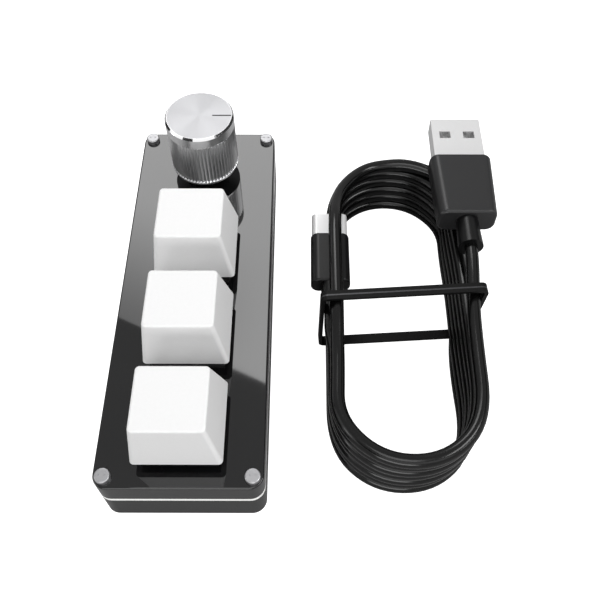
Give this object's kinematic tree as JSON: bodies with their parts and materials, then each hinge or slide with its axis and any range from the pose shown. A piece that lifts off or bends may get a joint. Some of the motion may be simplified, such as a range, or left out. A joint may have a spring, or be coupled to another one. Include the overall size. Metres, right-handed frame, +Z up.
{
  "type": "macro keypad",
  "caption": "Desk macro keypad with a row of mechanical keys and a push knob, beside its unplugged lead in a tied hank.",
  "frame": {"origin": "on the table under the middle of the case", "axes": "+Z up, +Y along the case from the keys to the knob, +X across the case to the side where the lead lies"},
  "size_m": [0.0862, 0.0958, 0.0337],
  "materials": {
    "shell_plastic": "matte moulded",
    "frosted_plastic": "frosted translucent",
    "cover_plastic": "high gloss",
    "screw_steel": "satin",
    "brass": "knurled",
    "rubber": "matte",
    "board": "solder mask",
    "chip_plastic": "moulded",
    "ceramic": "fired",
    "light_plastic": "moulded",
    "keycap_plastic": "fine matte",
    "switch_plastic": "moulded",
    "stem_plastic": "moulded",
    "spring_steel": "drawn",
    "copper_alloy": "plated",
    "knob_metal": "turned and anodised",
    "pointer_paint": "filled line",
    "cable_plastic": "soft gloss",
    "tie_plastic": "coated",
    "grip_plastic": "moulded",
    "plug_metal": "plated",
    "gold": "plated"
  },
  "bodies": {
    "case": {"bottom_shell": "shell_plastic", "light_frame": "frosted_plastic", "top_cover": "cover_plastic", "case_screws": "screw_steel", "case_inserts": "brass", "rubber_feet": "rubber", "circuit_board": "board", "controller_chip": "chip_plastic", "board_parts": "ceramic", "key_lights": "light_plastic", "switch_sockets": "chip_plastic", "usb_port_shell": "plug_metal", "usb_port_tongue": "chip_plastic", "switch_1_base": "switch_plastic", "switch_1_cover": "switch_plastic", "switch_1_spring": "spring_steel", "switch_1_contacts": "copper_alloy", "switch_2_base": "switch_plastic", "switch_2_cover": "switch_plastic", "switch_2_spring": "spring_steel", "switch_2_contacts": "copper_alloy", "switch_3_base": "switch_plastic", "switch_3_cover": "switch_plastic", "switch_3_spring": "spring_steel", "switch_3_contacts": "copper_alloy", "encoder_base": "chip_plastic", "encoder_bushing": "spring_steel", "encoder_dome": "spring_steel", "cable_hank": "cable_plastic", "cable_lead_a": "cable_plastic", "cable_lead_c": "cable_plastic", "cable_tie": "tie_plastic", "tie_wire": "spring_steel", "usb_a_shell": "plug_metal", "usb_a_insert": "light_plastic", "usb_a_contacts": "gold", "usb_a_grip": "grip_plastic", "usb_a_relief": "grip_plastic", "usb_c_shell": "plug_metal", "usb_c_contacts": "gold", "usb_c_grip": "grip_plastic", "usb_c_relief": "grip_plastic"},
    "key_1": {"keycap_1": "keycap_plastic", "switch_1_stem": "stem_plastic"},
    "key_2": {"keycap_2": "keycap_plastic", "switch_2_stem": "stem_plastic"},
    "key_3": {"keycap_3": "keycap_plastic", "switch_3_stem": "stem_plastic"},
    "encoder_rotor": {"encoder_rotor": "light_plastic"},
    "knob": {"encoder_shaft": "spring_steel", "knob_body": "knob_metal", "knob_disc": "knob_metal", "knob_pointer": "pointer_paint", "knob_set_screw": "screw_steel"}
  },
  "joints": [
    {"name": "key_1_press", "type": "slide", "parent": "case", "child": "key_1", "axis": [0, 0, -1], "range_m": [0, 0.0032], "stiffness_N_per_m": 80, "springref_m": -0.003, "deforming": ["switch_1_spring"]},
    {"name": "key_2_press", "type": "slide", "parent": "case", "child": "key_2", "axis": [0, 0, -1], "range_m": [0, 0.0032], "stiffness_N_per_m": 80, "springref_m": -0.003, "deforming": ["switch_2_spring"]},
    {"name": "key_3_press", "type": "slide", "parent": "case", "child": "key_3", "axis": [0, 0, -1], "range_m": [0, 0.0032], "stiffness_N_per_m": 80, "springref_m": -0.003, "deforming": ["switch_3_spring"]},
    {"name": "knob_turn", "type": "hinge", "parent": "case", "child": "encoder_rotor", "pos_m": [0, 0.0354, 0.0154], "axis": [0, 0, 1], "continuous": true},
    {"name": "knob_press", "type": "slide", "parent": "encoder_rotor", "child": "knob", "axis": [0, 0, -1], "range_m": [0, 0.0005], "stiffness_N_per_m": 4000, "springref_m": -0.0005}
  ]
}
